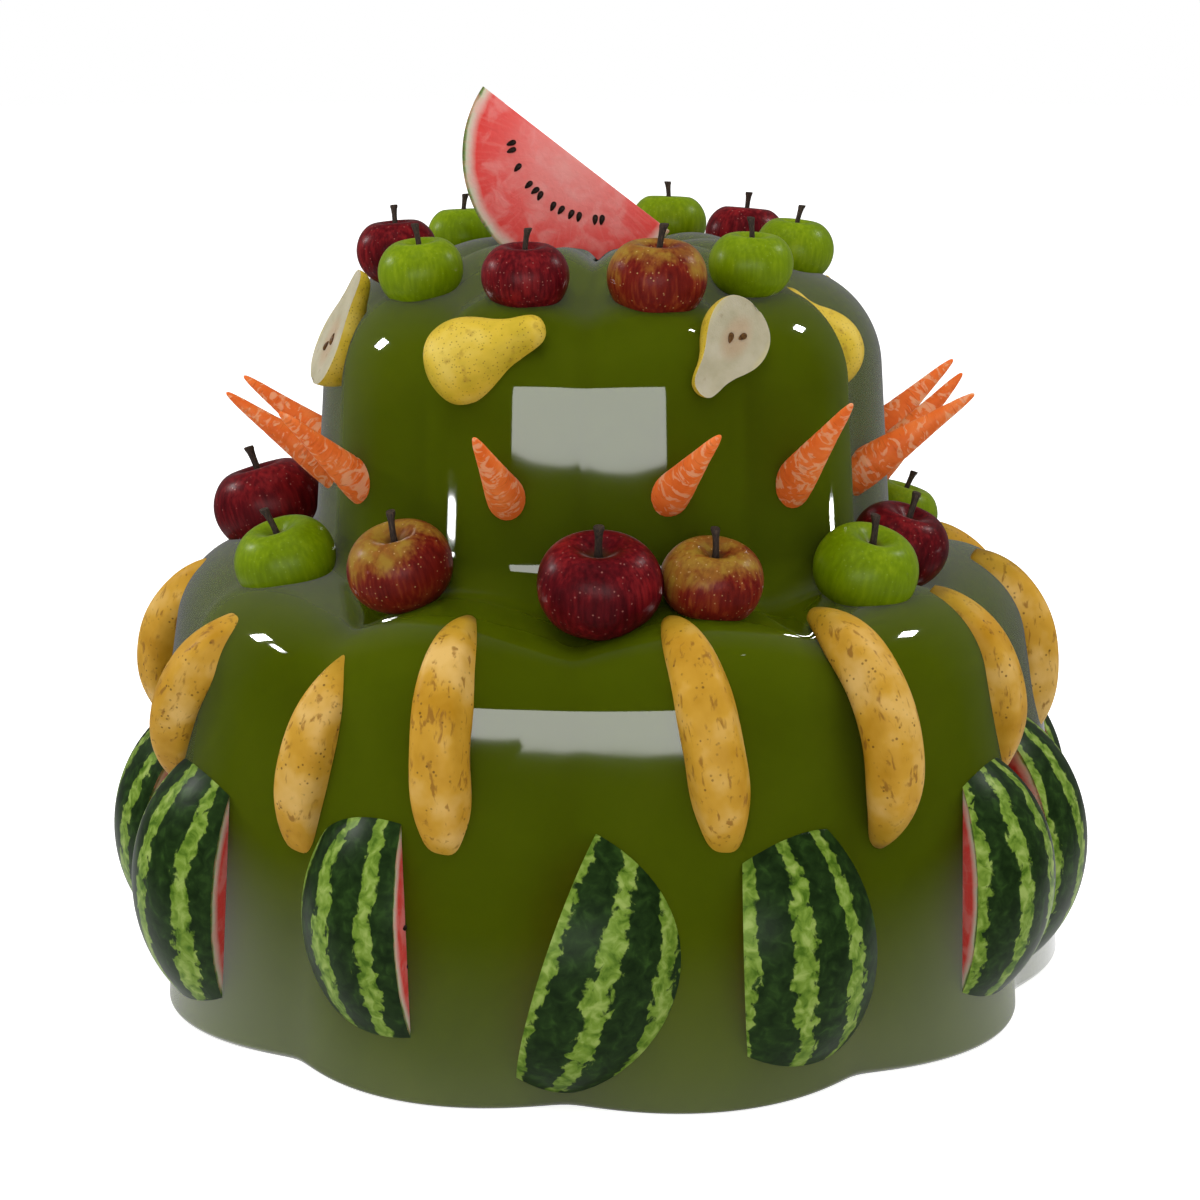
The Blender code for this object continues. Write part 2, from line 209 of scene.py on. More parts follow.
def seat(ring, angle, roll=0.0, own_turn=0.0, out=0.0, lift=0.0, size=1.0):
    """(rotation and size, place): own +Z leans out by the ring's lean, own -Y faces out."""
    radius, height, lean = ring
    whole = turn("Z", angle) @ turn("X", lean) @ turn("Y", roll) @ turn("Z", own_turn) * size
    return whole, turn("Z", angle) @ np.array((0.0, -radius - out, height + lift))


def placer(place, grids, node=None):
    """A function from own points to the frame. With a node, the boxes' middles agree."""
    matrix, where = place
    if node is not None:
        points = np.concatenate([grid.reshape(-1, 3) for grid in grids]) @ matrix.T + where
        low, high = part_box(node)
        where = where + (np.array(low) + np.array(high)) / 2 - (points.min(0) + points.max(0)) / 2
    return lambda own: own @ matrix.T + where


TOP_RING = (0.140, 0.504, 5.0)
PEAR_RING = (0.185, 0.456, -22.0)
CARROT_RING = (0.199, 0.367)
STEP_RING = (0.230, 0.320, 17.0)
BANANA_RING = (0.3075, 0.232)
WEDGE_RING = (0.257, 0.095, 0.0)
random = np.random.default_rng(7)
VARY = 0.7

# %% [markdown]
# ## Small helpers for node materials
#
# A material here is a chain of nodes that ends in one Principled shader. Adding a node and
# joining its sockets takes several lines each time, so one helper does it, and a few more name
# the kinds of pattern that fruit needs: noise, cells, ramps and bumps.

# %% Node helpers
def paint(red, green, blue):
    """A display colour, 0 to 255, as the linear colour that shaders use."""
    share = np.array((red, green, blue)) / 255
    linear = np.where(share <= 0.04045, share / 12.92, ((share + 0.055) / 1.055) ** 2.4)
    return (*linear.tolist(), 1.0)


def finish(name, roughness, **settings):
    """A new material, and its tree with the shader: underscores in settings stand for spaces."""
    material = bpy.data.materials.new(name)
    material.use_nodes = True
    shader = material.node_tree.nodes["Principled BSDF"]
    shader.inputs["Roughness"].default_value = roughness
    for socket, value in settings.items():
        shader.inputs[socket.replace("_", " ")].default_value = value
    return material, material.node_tree, shader


def node(tree, kind, inputs, output=0, **settings):
    """Adds a node and returns one of its outputs. An input is a socket to join, or a value."""
    made = tree.nodes.new("ShaderNode" + kind)
    for name, value in settings.items():
        setattr(made, name, value)
    for socket, value in inputs.items():
        if isinstance(value, bpy.types.NodeSocket):
            tree.links.new(value, made.inputs[socket])
        else:
            made.inputs[socket].default_value = value
    return made.outputs[output]


def note(tree, label):
    """The vector that each point carries under this name."""
    return node(tree, "Attribute", {}, "Vector", attribute_name=label)


def stretched(tree, vector, scale):
    return node(tree, "Mapping", {"Vector": vector, "Scale": scale})


def noise(tree, vector, scale, detail=3.0, distortion=0.0):
    inputs = {"Vector": vector, "Scale": scale, "Detail": detail, "Distortion": distortion}
    return node(tree, "TexNoise", inputs)


def cells(tree, vector, scale):
    """The distance to the nearest of many scattered points, in cells."""
    return node(tree, "TexVoronoi", {"Vector": vector, "Scale": scale})


def sums(tree, operation, first, second=0.0):
    return node(tree, "Math", {0: first, 1: second}, operation=operation)


def ramp(tree, factor, *stops):
    """A colour ramp through (position, colour) stops."""
    made = node(tree, "ValToRGB", {"Fac": factor})
    elements = made.node.color_ramp.elements
    for index, (position, colour) in enumerate(stops):
        element = elements[index] if index < 2 else elements.new(position)
        element.position, element.color = position, colour
    return made


def between(tree, value, low, high):
    """0 below low, 1 above high, and smooth in between."""
    inputs = {"Value": value, "From Min": low, "From Max": high}
    return node(tree, "MapRange", inputs, interpolation_type="SMOOTHSTEP")


def mix(tree, factor, first, second):
    return node(tree, "Mix", {0: factor, 6: first, 7: second}, 2, data_type="RGBA")


def bump(tree, shader, height, distance, strength=1.0):
    inputs = {"Height": height, "Distance": distance, "Strength": strength}
    tree.links.new(node(tree, "Bump", inputs), shader.inputs["Normal"])


def rough(tree, shader, pattern, low, high):
    """Roughness between low and high, as a pattern goes from 0 to 1."""
    inputs = {"Value": pattern, "To Min": low, "To Max": high}
    tree.links.new(node(tree, "MapRange", inputs), shader.inputs["Roughness"])


def colour(tree, shader, socket):
    tree.links.new(socket, shader.inputs["Base Color"])


def parts_of(tree, vector):
    """The x, y and z of a vector."""
    made = node(tree, "SeparateXYZ", {"Vector": vector}).node
    return made.outputs


# %% [markdown]
# ## The jelly
#
# A moulded jelly takes the shape of its tin: ten lobes round the axis, each a rounded crest
# between two creases, on two tiers with soft shoulders. It could be sculpted, but its tin was
# turned and fluted, so a formula fits it better. A profile with rounded corners is carried round
# the axis, and each crease bites in along the profile's own normal. Gelatine softens the creases,
# so their sharp foot is rounded a little, and the foot of the wall is rounded where it rests.

# %% The jelly's shape
FOOT_INSIDE, FOOT_RADIUS, FOOT_ARC, SHOULDER_HEIGHT = 0.300, 0.333, 0.004, 0.292
PROFILE = (
    (FOOT_INSIDE, 0.0, 0.0),
    (FOOT_RADIUS, 0.0, FOOT_ARC),
    (0.318, 0.172, 0.170),
    (0.299, 0.292, 0.063),
    (0.205, 0.305, 0.022),
    (0.193, 0.475, 0.072),
    (0.080, 0.515, 0.080),
    (0.0, 0.503, 0.0),
)
LOBES, FIRST_VALLEY = 10, -4.0
VALLEY_DEPTH, VALLEY_POWER, VALLEY_SOFTNESS = 0.0265, 0.85, 0.15
ARC_STEP = math.radians(3)
ROW_SPACING, ROW_TURN = 0.0055, math.radians(4.5)
SHINE_SHARE = 0.85
LOBE_COLUMNS = 42


def rounded(corners):
    """An outline of (radius, height) whose corners are arcs of the third number's radius."""
    points = [np.array(corners[0][:2])]
    for before, corner, after in zip(corners, corners[1:], corners[2:]):
        here = np.array(corner[:2])
        back, ahead = (np.array(other[:2]) - here for other in (before, after))
        back, ahead = back / np.linalg.norm(back), ahead / np.linalg.norm(ahead)
        half = math.acos(np.dot(back, ahead)) / 2
        centre = here + (back + ahead) / np.linalg.norm(back + ahead) * corner[2] / math.sin(half)
        start, end = (here + way * corner[2] / math.tan(half) - centre for way in (back, ahead))
        sweep = math.atan2(start[0] * end[1] - start[1] * end[0], np.dot(start, end))
        swing = np.linspace(0, sweep, 2 + int(abs(sweep) / ARC_STEP))[:, None]
        across = np.array((-start[1], start[0]))
        points.extend(centre + np.cos(swing) * start + np.sin(swing) * across)
    points.append(np.array(corners[-1][:2]))
    return np.array(points)


def rows_along(points):
    """The same outline with a row for each ROW_SPACING of its length and each ROW_TURN of its bend."""
    lengths = np.linalg.norm(np.diff(points, axis=0), axis=1)
    points = points[np.r_[True, lengths > 1e-7]]
    steps = np.diff(points, axis=0)
    heading = np.unwrap(np.arctan2(steps[:, 1], steps[:, 0]))
    rows = np.linalg.norm(steps, axis=1) / ROW_SPACING + np.abs(np.gradient(heading)) / ROW_TURN
    along = np.cumsum(np.r_[0, rows])
    wanted = np.linspace(0, along[-1], 1 + int(along[-1]))
    return np.stack([np.interp(wanted, along, column) for column in points.T], axis=1)


def jelly_points():
    """Points, and the shading directions of the same profile without its creases.

    point = profile + inward normal * depth * bite, with bite = 1 - |sin|^power per lobe.
    """
    profile = rows_along(rounded(PROFILE))
    walked = np.cumsum(np.r_[0, np.linalg.norm(np.diff(profile, axis=0), axis=1)])
    along = np.gradient(profile, walked, axis=0)
    along /= np.linalg.norm(along, axis=1)[:, None]
    radius, height = profile.T
    depth = VALLEY_DEPTH * np.sqrt(radius / FOOT_RADIUS)
    foot = np.clip((radius - FOOT_INSIDE) / (FOOT_RADIUS - FOOT_INSIDE), 0, 1) * (height < FOOT_ARC)
    across = -np.maximum(along[:, 1], foot) * depth
    up = along[:, 0] * depth * np.minimum(1, height / SHOULDER_HEIGHT)
    phase = np.linspace(0, LOBES, LOBES * LOBE_COLUMNS + 1)
    wave = np.sqrt(np.sin(np.pi * phase) ** 2 + VALLEY_SOFTNESS**2)
    bite = 1 - (wave / wave.max()) ** VALLEY_POWER
    angle = np.radians(FIRST_VALLEY + phase * 360 / LOBES)
    reach = radius[:, None] + across[:, None] * bite
    points = (reach * np.sin(angle), -reach * np.cos(angle), height[:, None] + up[:, None] * bite)
    out, rise = along[:, 1:], -along[:, :1]
    facing = (out * np.sin(angle), -out * np.cos(angle), rise + 0 * angle)
    return np.stack(points, axis=-1), np.stack(facing, axis=-1)


def soften_shine(mesh, points, facing):
    """Shading direction = own direction * (1 - share) + direction without creases * share."""
    nearest = KDTree(points.shape[0] * points.shape[1])
    for index, point in enumerate(points.reshape(-1, 3)):
        nearest.insert(point, index)
    nearest.balance()
    match = [nearest.find(vertex.co)[1] for vertex in mesh.vertices]
    own = np.array([vertex.normal for vertex in mesh.vertices])
    mixed = own * (1 - SHINE_SHARE) + facing.reshape(-1, 3)[match] * SHINE_SHARE
    mixed /= np.linalg.norm(mixed, axis=1)[:, None]
    corners = np.zeros(len(mesh.loops), np.int32)
    mesh.loops.foreach_get("vertex_index", corners)
    normals = mixed[corners]
    for face in mesh.polygons:
        if face.normal.z < -0.99:
            normals[list(face.loop_indices)] = (0.0, 0.0, -1.0)
    mesh.normals_split_custom_set(normals.tolist())


skin, skin_facing = jelly_points()
underside = skin[0] * np.linspace(1, 0, 6)[:, None, None]
print("The jelly's skin is a grid of", skin.shape[:2], "points")


# %% [markdown]
# ## The jelly's finish
#
# Set gelatine is glossy, clear at its skin and cloudy inside. Light goes in, wanders and comes
# out again a few centimetres away, so the body glows softly and thin crests look paler. Glass
# with a coloured volume would show the buried half of every fruit and needs many samples.
# Subsurface scattering gives the cloudy body directly, and the shader's own low roughness gives
# the wet shine.

# %% The jelly's material
def jelly_finish():
    material, tree, shader = finish(
        "green_jelly",
        0.04,
        Subsurface_Weight=0.5,
        Subsurface_Scale=0.03,
        Subsurface_Radius=(0.8, 1.0, 0.25),
        IOR=1.45,
        Coat_Weight=1.0,
        Coat_Roughness=0.03,
    )
    place = node(tree, "TexCoord", {}, "Object")
    cloud = noise(tree, place, 9.0, 4.0, 0.6)
    body = ramp(
        tree, cloud, (0.3, paint(74, 86, 2)), (0.5, paint(78, 91, 4)), (0.72, paint(83, 95, 8))
    )
    height = parts_of(tree, place)["Z"]
    # Painted light: the colour is mixed towards a pale grey-olive near the foot, standing in for light from the white
    # floor coming up through the thin base.
    foot = between(tree, height, 0.06, 0.0)
    foot = sums(tree, "MULTIPLY", foot, 0.12)
    colour(tree, shader, mix(tree, foot, body, paint(128, 138, 88)))
    waves = noise(tree, place, 14.0, 2.0)
    bump(tree, shader, waves, 0.0006, 0.2)
    return material


jelly = show("jelly_body", [(skin, 0), (underside, 0)], [jelly_finish()])
soften_shine(jelly.data, skin, skin_facing)
jelly.visible_glossy = True
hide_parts("jelly")
print("jelly_body", len(jelly.data.polygons), "faces")

# %% [markdown]
# ## Apples
#
# An apple is a ball with a deep dimple at its stem and a shallow one at its eye, widest above
# the middle, and never quite round: five faint lobes run down to the eye. The formula sinks the
# poles of a ball with two bell curves and swells it a little by waves round its axis. The stem
# is a thin woody tube, its own piece, with a flared end where it was picked.

# %% The apple's shape
APPLE_RADIUS, APPLE_HEIGHT = 0.029, 0.86
APPLE_ROWS, APPLE_COLUMNS = 44, 57
STEM_LENGTH, STEM_RADIUS, STEM_BURIED = 0.021, 0.0021, 0.003


def apple_height(reach, way):
    """The height of the surface at a share of the radius, from the way down the ball."""
    height = APPLE_HEIGHT * np.cos(way)
    height -= 0.36 * np.exp(-((reach / 0.34) ** 2)) * (way < np.pi / 2)
    return height + 0.16 * np.exp(-((reach / 0.3) ** 2)) * (way > np.pi / 2)


def apple_grid(phases):
    """radius = sin^0.9 of the way down, with lobes that grow towards the eye."""
    way = np.linspace(0, np.pi, APPLE_ROWS)[:, None]
    angle = np.linspace(0, 2 * np.pi, APPLE_COLUMNS)
    reach = np.sin(way) ** 0.9
    height = apple_height(reach, way)
    reach = reach * (1 + 0.035 * np.cos(way))
    lobes = 0.030 * np.cos(5 * angle + phases[0]) * np.sin(way) * (1 - np.cos(way)) / 2
    lobes = lobes + 0.016 * np.sin(angle + phases[1]) + 0.014 * np.sin(2 * angle + phases[2])
    tilt = 0.022 * np.sin(angle + phases[3]) * reach
    reach = reach * (1 + lobes)
    reach[[0, -1]] = 0
    return APPLE_RADIUS * np.stack(
        [reach * np.sin(angle), -reach * np.cos(angle), height + tilt], axis=-1
    )


def stem_grid(phase):
    """A tube with rings of radius w(s) round the bent line (b s^2 cos p, b s^2 sin p, s)."""
    share = np.array((0, 0, 0.12, 0.3, 0.5, 0.7, 0.85, 0.94, 1.0, 1.0))
    width = np.array((0, 1.15, 1.05, 0.9, 0.85, 0.9, 1.05, 1.3, 1.25, 0))
    angle = np.linspace(0, 2 * np.pi, 11)
    bend = 0.0030 * share[:, None] ** 2
    foot = APPLE_RADIUS * (APPLE_HEIGHT - 0.36) - STEM_BURIED
    ring = (STEM_RADIUS * width)[:, None]
    return np.stack(
        [
            ring * np.sin(angle) + bend * math.cos(phase),
            -ring * np.cos(angle) + bend * math.sin(phase),
            foot + (share * STEM_LENGTH)[:, None] + 0 * angle,
        ],
        axis=-1,
    )


# %% [markdown]
# ## Apple skins
#
# Three kinds of apple: dark red, green, and red over gold. The blush runs in fine streaks from
# stem to eye, which is noise stretched along the apple's own axis. Pale pores dot the skin: they
# are the middles of Voronoi cells. A patch of brown russet lines the dimple round the stem.

# %% Apple materials
def pores(tree, base, pale, amount, spacing=300.0):
    """Pale dots at the middles of scattered cells, over a base colour."""
    spots = cells(tree, note(tree, "vary"), spacing)
    dots = sums(tree, "MULTIPLY", between(tree, spots, 0.19, 0.07), amount)
    return mix(tree, dots, base, pale)


def dimple(tree, base, russet):
    """Russet round the stem, fading out with the distance from the apple's axis."""
    own = parts_of(tree, note(tree, "own"))
    square = sums(tree, "ADD", sums(tree, "MULTIPLY", own["X"], own["X"]), 0.0)
    square = sums(tree, "ADD", square, sums(tree, "MULTIPLY", own["Y"], own["Y"]))
    rough_edge = noise(tree, note(tree, "vary"), 300.0)
    distance = sums(tree, "ADD", sums(tree, "SQRT", square), sums(tree, "MULTIPLY", rough_edge, 0.003))
    near = between(tree, distance, 0.0085, 0.0035)
    top = between(tree, own["Z"], 0.004, 0.010)
    return mix(tree, sums(tree, "MULTIPLY", near, top), base, russet)


def apple_skin(name, stops, pore, pore_amount, russet, gold=None):
    """A streaked skin. With gold, that colour spreads from the stem's end down the sides."""
    material, tree, shader = finish(
        name, 0.34, Specular_IOR_Level=0.12, Coat_Weight=0.0, Coat_Roughness=0.12
    )
    vary = note(tree, "vary")
    streaks = noise(tree, stretched(tree, vary, (1.0, 1.0, 0.14)), 420.0, 4.0)
    blush = noise(tree, vary, 34.0, 2.0)
    amount = sums(tree, "ADD", sums(tree, "MULTIPLY", streaks, 0.55), sums(tree, "MULTIPLY", blush, 0.5))
    base = ramp(tree, amount, *stops)
    if gold is not None:
        height = parts_of(tree, note(tree, "own"))["Z"]
        high = sums(tree, "ADD", height, sums(tree, "MULTIPLY", sums(tree, "SUBTRACT", streaks, 0.5), 0.022))
        high = sums(tree, "ADD", high, sums(tree, "MULTIPLY", sums(tree, "SUBTRACT", blush, 0.5), 0.09))
        patch = between(tree, noise(tree, vary, 95.0, 4.0, 0.8), 0.38, 0.62)
        patch = sums(tree, "ADD", 0.45, sums(tree, "MULTIPLY", patch, 0.5))
        base = mix(tree, sums(tree, "MULTIPLY", between(tree, high, 0.006, 0.028), patch), base, gold)
    base = pores(tree, base, pore, pore_amount)
    colour(tree, shader, dimple(tree, base, russet))
    fine = noise(tree, vary, 900.0, 2.0)
    bump(tree, shader, fine, 0.00012, 0.6)
    rough(tree, shader, fine, 0.22, 0.42)
    return material


def stem_bark():
    material, tree, shader = finish("apple_stem", 0.75)
    grain = noise(tree, stretched(tree, note(tree, "vary"), (1.0, 1.0, 0.2)), 1400.0)
    stops = ((0.3, paint(38, 28, 20)), (0.6, paint(72, 53, 38)), (0.8, paint(104, 82, 58)))
    colour(tree, shader, ramp(tree, grain, *stops))
    bump(tree, shader, grain, 0.0004)
    return material


APPLE_SKINS = {
    "dark_red": apple_skin(
        "dark_red_apple",
        ((0.36, paint(66, 5, 12)), (0.52, paint(94, 11, 19)), (0.68, paint(134, 26, 30))),
        paint(176, 110, 100),
        0.6,
        paint(70, 44, 28),
    ),
    "green": apple_skin(
        "green_apple",
        ((0.36, paint(100, 124, 0)), (0.52, paint(112, 138, 2)), (0.70, paint(132, 155, 12))),
        paint(176, 196, 90),
        0.2,
        paint(92, 88, 30),
    ),
    "red_and_gold": apple_skin(
        "red_and_gold_apple",
        ((0.36, paint(90, 16, 12)), (0.52, paint(116, 28, 18)), (0.70, paint(148, 66, 30))),
        paint(216, 176, 116),
        0.55,
        paint(96, 66, 30),
        gold=paint(156, 122, 42),
    ),
}
bark = stem_bark()

# %% [markdown]
# ## Setting the apples
#
# Ten small apples stand round the crown and twelve larger ones on the step. Three of the latter
# stand at the back, where the CAD model leaves them to this script: they have no node, and come
# last in the table. Each apple turns a little further than the one before it.

# %% Place every apple
APPLE_TURN = 37.0
TOP_APPLES = (
    ("green", -133.0, 0.95, -0.003, 0.0),
    ("dark_red", -82.0, 0.97, 0.003, 0.001),
    ("green", -56.5, 1.0, 0.006, -0.007),
    ("dark_red", -20.5, 0.98, 0.003, -0.004),
    ("red_and_gold", 14.5, 1.12, 0.003, -0.005),
    ("green", 45.5, 0.97, -0.001, 0.0),
    ("green", 90.0, 0.95, -0.005, 0.0),
    ("dark_red", 130.0, 1.0, -0.003, 0.0),
    ("green", 159.0, 0.95, 0.0, 0.006),
    ("red_and_gold", 195.0, 0.97, 0.0, 0.0),
)
STEP_APPLES = (
    ("dark_red", -97.5, 1.38, 0.013, -0.003),
    ("green", -62.5, 1.2, 0.011, -0.014),
    ("red_and_gold", -34.6, 1.18, 0.0, 0.0),
    ("dark_red", -0.3, 1.36, 0.002, -0.003),
    ("red_and_gold", 17.6, 1.13, 0.001, -0.002),
    ("green", 47.6, 1.22, 0.005, -0.009),
    ("dark_red", 68.5, 1.17, -0.010, -0.009),
    ("green", 102.0, 1.03, -0.009, -0.013),
    ("red_and_gold", 127.0, 1.3, 0.004, 0.013),
    ("green", 160.0, 1.18, 0.002, -0.006),
    ("dark_red", 194.0, 1.25, 0.004, -0.004),
    ("red_and_gold", 229.0, 1.2, 0.002, -0.002),
)


def stand_for(name):
    """Hides the CAD node of this name, if there is one, so that the new piece stands in its place."""
    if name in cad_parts:
        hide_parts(name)


def add_apple(name, kind, place):
    phases = random.uniform(0, 2 * np.pi, 5)
    fruit, stem = apple_grid(phases), stem_grid(phases[4])
    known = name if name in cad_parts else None
    placed = placer(place, [fruit, stem], known)
    shift = random.uniform(-VARY, VARY, 3)
    piece = show(name + "_fruit", [(fruit, 0)], [APPLE_SKINS[kind]], placed, shift)
    stand_for(name)
    show(name + "_stem", [(stem, 0)], [bark], placed, shift)


for ring_name, ring, apples in (("top", TOP_RING, TOP_APPLES), ("step", STEP_RING, STEP_APPLES)):
    for order, (kind, angle, size, out, lift) in enumerate(apples, 1):
        place = seat(ring, angle, 0.0, APPLE_TURN * order, out, lift, size)
        add_apple(f"apple_{ring_name}_{order}", kind, place)
print(len(TOP_APPLES) + len(STEP_APPLES), "apples with their stems")

# %% [markdown]
# ## Half pears
#
# Each half pear is the back half of a turned shape, closed by its flat cut face. The skin meets
# the cut at a sharp edge, so the two are separate grids with separate finishes, welded along
# their shared edge. Two brown seeds lie in the core, and a dark remnant of the blossom marks the
# wide end.

# %% The half pear's shape
PEAR_LENGTH, PEAR_RADIUS, PEAR_MIDDLE = 0.084, 0.0285, 0.45
PEAR_KNOTS = (
    (0, 0.012), (0.13, 0.002), (0.27, 0.006), (0.5, 0.03), (0.76, 0.085), (0.93, 0.17), (1, 0.29),
    (0.95, 0.41), (0.8, 0.53), (0.62, 0.64), (0.49, 0.75), (0.42, 0.86), (0.34, 0.94),
    (0.2, 0.985), (0, 1.0),
)  # fmt: skip
PEAR_ROWS, PEAR_COLUMNS = 72, 33
CUT_COLUMNS = 25


def pear_outline():
    knots = smooth_path(PEAR_KNOTS, PEAR_ROWS)
    knots[[0, -1], 0] = 0
    return np.stack([knots[:, 0] * PEAR_RADIUS, (knots[:, 1] - PEAR_MIDDLE) * PEAR_LENGTH], axis=1)


def pear_grids():
    """Skin: the outline turned from one side of the cut round the back to the other.

    Cut face: straight lines across between the two sides, sunk a little in the middle.
    """
    outline = pear_outline()
    skin = revolved(outline, np.linspace(np.pi / 2, 3 * np.pi / 2, PEAR_COLUMNS))
    across = np.linspace(1, -1, CUT_COLUMNS)
    half = outline[:, :1]
    hollow = 0.0007 * (1 - across**2) * np.minimum(1, half / 0.01)
    cut = np.stack([half * across, hollow, outline[:, 1:] + 0 * across], axis=-1)
    return skin, cut


def seed_grid(length, width, thickness, rows=9, columns=11):
    """A flattened teardrop along Z: its width is sin of the way times a taper to the tip."""
    way = np.linspace(0, np.pi, rows)[:, None]
    angle = np.linspace(0, 2 * np.pi, columns)
    ring = np.sin(way) * (1 + 0.35 * np.cos(way))
    ring[[0, -1]] = 0
    return np.stack(
        [
            width / 2 * ring * np.sin(angle),
            -thickness / 2 * ring * np.cos(angle),
            -length / 2 * np.cos(way) + 0 * angle,
        ],
        axis=-1,
    )


# %% [markdown]
# ## Pear finishes
#
# The skin is yellow with fine brown dots and a faint green cast in places. The flesh is cream and grainy, a little
# darker round the core.

# %% Pear materials
def pear_skin():
    material, tree, shader = finish("yellow_pear", 0.45, Specular_IOR_Level=0.12)
    vary = note(tree, "vary")
    cast = noise(tree, vary, 40.0, 3.0)
    base = ramp(
        tree, cast, (0.3, paint(190, 164, 38)), (0.5, paint(216, 184, 56)), (0.72, paint(228, 200, 92))
    )
    spots = between(tree, cells(tree, vary, 420.0), 0.30, 0.14)
    base = mix(tree, sums(tree, "MULTIPLY", spots, 0.6), base, paint(128, 98, 30))
    blotch = between(tree, noise(tree, vary, 95.0, 5.0), 0.60, 0.72)
    base = mix(tree, sums(tree, "MULTIPLY", blotch, 0.45), base, paint(150, 112, 40))
    ends = between(tree, parts_of(tree, note(tree, "own"))["Z"], -0.0350, -0.0375)
    colour(tree, shader, mix(tree, ends, base, paint(66, 46, 24)))
    bump(tree, shader, noise(tree, vary, 500.0, 3.0), 0.0004, 0.5)
    return material


def pear_flesh():
    material, tree, shader = finish(
        "pear_flesh", 0.42, Specular_IOR_Level=0.15, Subsurface_Weight=0.3, Subsurface_Scale=0.004,
        Subsurface_Radius=(1.0, 0.8, 0.5),
    )  # fmt: skip
    own = parts_of(tree, note(tree, "own"))
    along = sums(tree, "DIVIDE", sums(tree, "ADD", own["Z"], 0.008), 0.019)
    wide = sums(tree, "DIVIDE", own["X"], 0.012)
    square = sums(tree, "ADD", sums(tree, "MULTIPLY", along, along), sums(tree, "MULTIPLY", wide, wide))
    grain = noise(tree, note(tree, "vary"), 700.0, 4.0)
    clouds = noise(tree, note(tree, "vary"), 60.0, 3.0)
    base = ramp(
        tree, clouds, (0.3, paint(176, 168, 138)), (0.52, paint(188, 180, 152)), (0.75, paint(198, 190, 166))
    )
    core = sums(tree, "MULTIPLY", between(tree, square, 1.5, 0.1), 0.6)
    base = mix(tree, core, base, paint(186, 154, 122))
    rim = between(tree, sums(tree, "ABSOLUTE", own["X"]), 0.022, 0.029)
    base = mix(tree, sums(tree, "MULTIPLY", rim, 0.6), base, paint(206, 196, 140))
    spots = between(tree, noise(tree, note(tree, "vary"), 130.0, 2.0), 0.66, 0.74)
    base = mix(tree, sums(tree, "MULTIPLY", spots, 0.3), base, paint(140, 116, 84))
    colour(tree, shader, base)
    bump(tree, shader, grain, 0.0005, 0.6)
    return material


def seed_coat(name, dark, light):
    material, tree, shader = finish(name, 0.4, Specular_IOR_Level=0.2)
    patches = noise(tree, note(tree, "vary"), 500.0, 3.0)
    colour(tree, shader, ramp(tree, patches, (0.35, dark), (0.75, light)))
    bump(tree, shader, patches, 0.0002, 0.5)
    return material


pear_finishes = [pear_skin(), pear_flesh()]
pear_seed_coat = seed_coat("pear_seed", paint(74, 46, 20), paint(128, 88, 40))

# %% Place every half pear
# Angle, roll, own turn, offset outwards and upwards, and size. With no own turn the cut face
# looks out, and with 180 degrees it is buried.
PEARS = (
    (-71.5, 14.0, 0.0, 0.007, 0.0, 1.0),
    (-24.5, 63.0, 180.0, 0.0, 0.0, 1.0),
    (25.6, -136.0, -14.5, 0.006, 0.0048, 0.88),
    (64.0, -38.0, 180.0, -0.026, -0.005, 1.0),
    (110.0, 20.0, 0.0, 0.009, -0.018, 1.0),
    (177.0, -24.0, 0.0, 0.004, 0.0, 1.0),
    (232.0, 40.0, 180.0, 0.0, 0.0, 1.0),
)
PEAR_SEEDS = ((-0.0036, -0.0125, 24.0), (0.0040, -0.0045, -18.0))


def pear_seeds():
    """Two seeds lying flat in the cut face, each leaning a little to one side."""
    seed = seed_grid(0.0085, 0.0046, 0.0022)
    return [
        (seed @ turn("Y", lean).T + (across, 0.0003, along), 0) for across, along, lean in PEAR_SEEDS
    ]


for order, row in enumerate(PEARS, 1):
    name = f"pear_half_{order}"
    grids = pear_grids()
    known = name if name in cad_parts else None
    placed = placer(seat(PEAR_RING, *row), grids, known)
    shift = random.uniform(-VARY, VARY, 3)
    piece = show(name + "_fruit", [(grids[0], 0), (grids[1], 1)], pear_finishes, placed, shift)
    stand_for(name)
    if row[2] < 90:
        show(name + "_seeds", pear_seeds(), [pear_seed_coat], placed, shift)
print(len(PEARS), "half pears")

# %% [markdown]
# ## Carrots
#
# Small carrots are pushed into the wall with their points outwards. A carrot is a long taper,
# creased across by fine rings that run part of the way round. The rings come from waves along the
# length whose phase drifts round the carrot, and the finest ones from the bump.

# %% Carrot shape and finish
CARROT_LENGTH, CARROT_BURIED, CARROT_RADIUS = 0.128, 0.048, 0.014
CARROT_KNOTS = (
    (0, 0.0), (0.45, 0.002), (0.8, 0.02), (0.96, 0.1), (1, 0.2), (0.97, 0.3), (0.87, 0.41),
    (0.72, 0.53), (0.57, 0.65), (0.41, 0.78), (0.27, 0.9), (0.16, 0.965), (0.09, 0.99), (0, 1.0),
)  # fmt: skip
CARROT_ROWS, CARROT_COLUMNS = 110, 25


